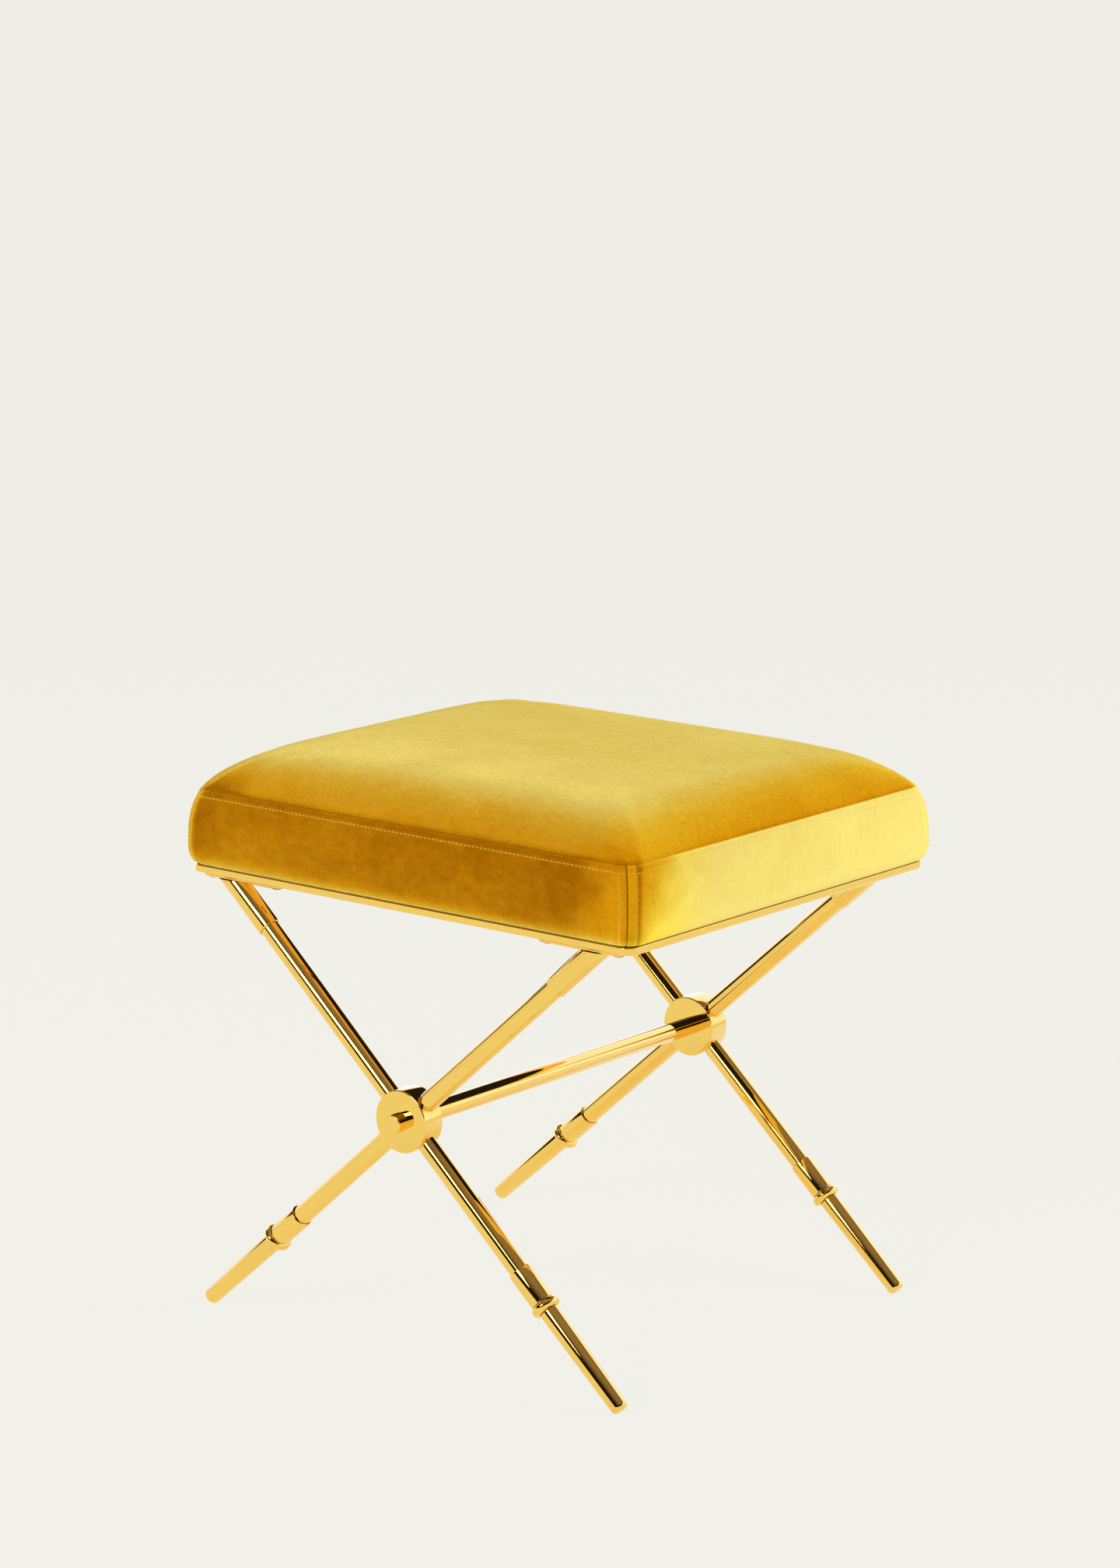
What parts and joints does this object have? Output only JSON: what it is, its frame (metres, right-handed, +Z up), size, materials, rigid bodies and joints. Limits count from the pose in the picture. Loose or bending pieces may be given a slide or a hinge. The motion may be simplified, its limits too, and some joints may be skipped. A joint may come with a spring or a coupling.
{
  "type": "upholstered bench",
  "caption": "Upholstered bench with a crowned mustard velvet box cushion on a polished gold flat-bar frame, carried by crossed tube legs that a stretcher joins.",
  "frame": {"origin": "on the floor, under the middle of the seat", "axes": "+Z is up, +X runs along the seat's long side in the plane of the crossed legs, and -Y is the front"},
  "size_m": [0.456, 0.4186, 0.4691],
  "materials": {
    "polished_gold": "polished",
    "screw_metal": "satin",
    "mustard_velvet": "matte",
    "foam": "matte",
    "plywood": "matte",
    "dust_cloth": "matte"
  },
  "bodies": {
    "root": {"dust_cover": "dust_cloth", "flange_back_left": "polished_gold", "flange_back_right": "polished_gold", "flange_front_left": "polished_gold", "flange_front_right": "polished_gold", "foam_core": "foam", "foot_back_left": "polished_gold", "foot_back_right": "polished_gold", "foot_front_left": "polished_gold", "foot_front_right": "polished_gold", "hub_back": "polished_gold", "hub_front": "polished_gold", "lower_sleeve_back_left": "polished_gold", "lower_sleeve_back_right": "polished_gold", "lower_sleeve_front_left": "polished_gold", "lower_sleeve_front_right": "polished_gold", "lower_tube_back_left": "polished_gold", "lower_tube_back_right": "polished_gold", "lower_tube_front_left": "polished_gold", "lower_tube_front_right": "polished_gold", "ring_bead_back_left": "polished_gold", "ring_bead_back_right": "polished_gold", "ring_bead_front_left": "polished_gold", "ring_bead_front_right": "polished_gold", "screw_back_left_inner": "screw_metal", "screw_back_left_outer": "screw_metal", "screw_back_right_inner": "screw_metal", "screw_back_right_outer": "screw_metal", "screw_front_left_inner": "screw_metal", "screw_front_left_outer": "screw_metal", "screw_front_right_inner": "screw_metal", "screw_front_right_outer": "screw_metal", "seat_board": "plywood", "seat_frame": "polished_gold", "stretcher": "polished_gold", "upper_sleeve_back_left": "polished_gold", "upper_sleeve_back_right": "polished_gold", "upper_sleeve_front_left": "polished_gold", "upper_sleeve_front_right": "polished_gold", "upper_tube_back_left": "polished_gold", "upper_tube_back_right": "polished_gold", "upper_tube_front_left": "polished_gold", "upper_tube_front_right": "polished_gold", "velvet_band_back": "mustard_velvet", "velvet_band_front": "mustard_velvet", "velvet_band_left": "mustard_velvet", "velvet_band_right": "mustard_velvet", "velvet_top": "mustard_velvet"}
  },
  "joints": []
}
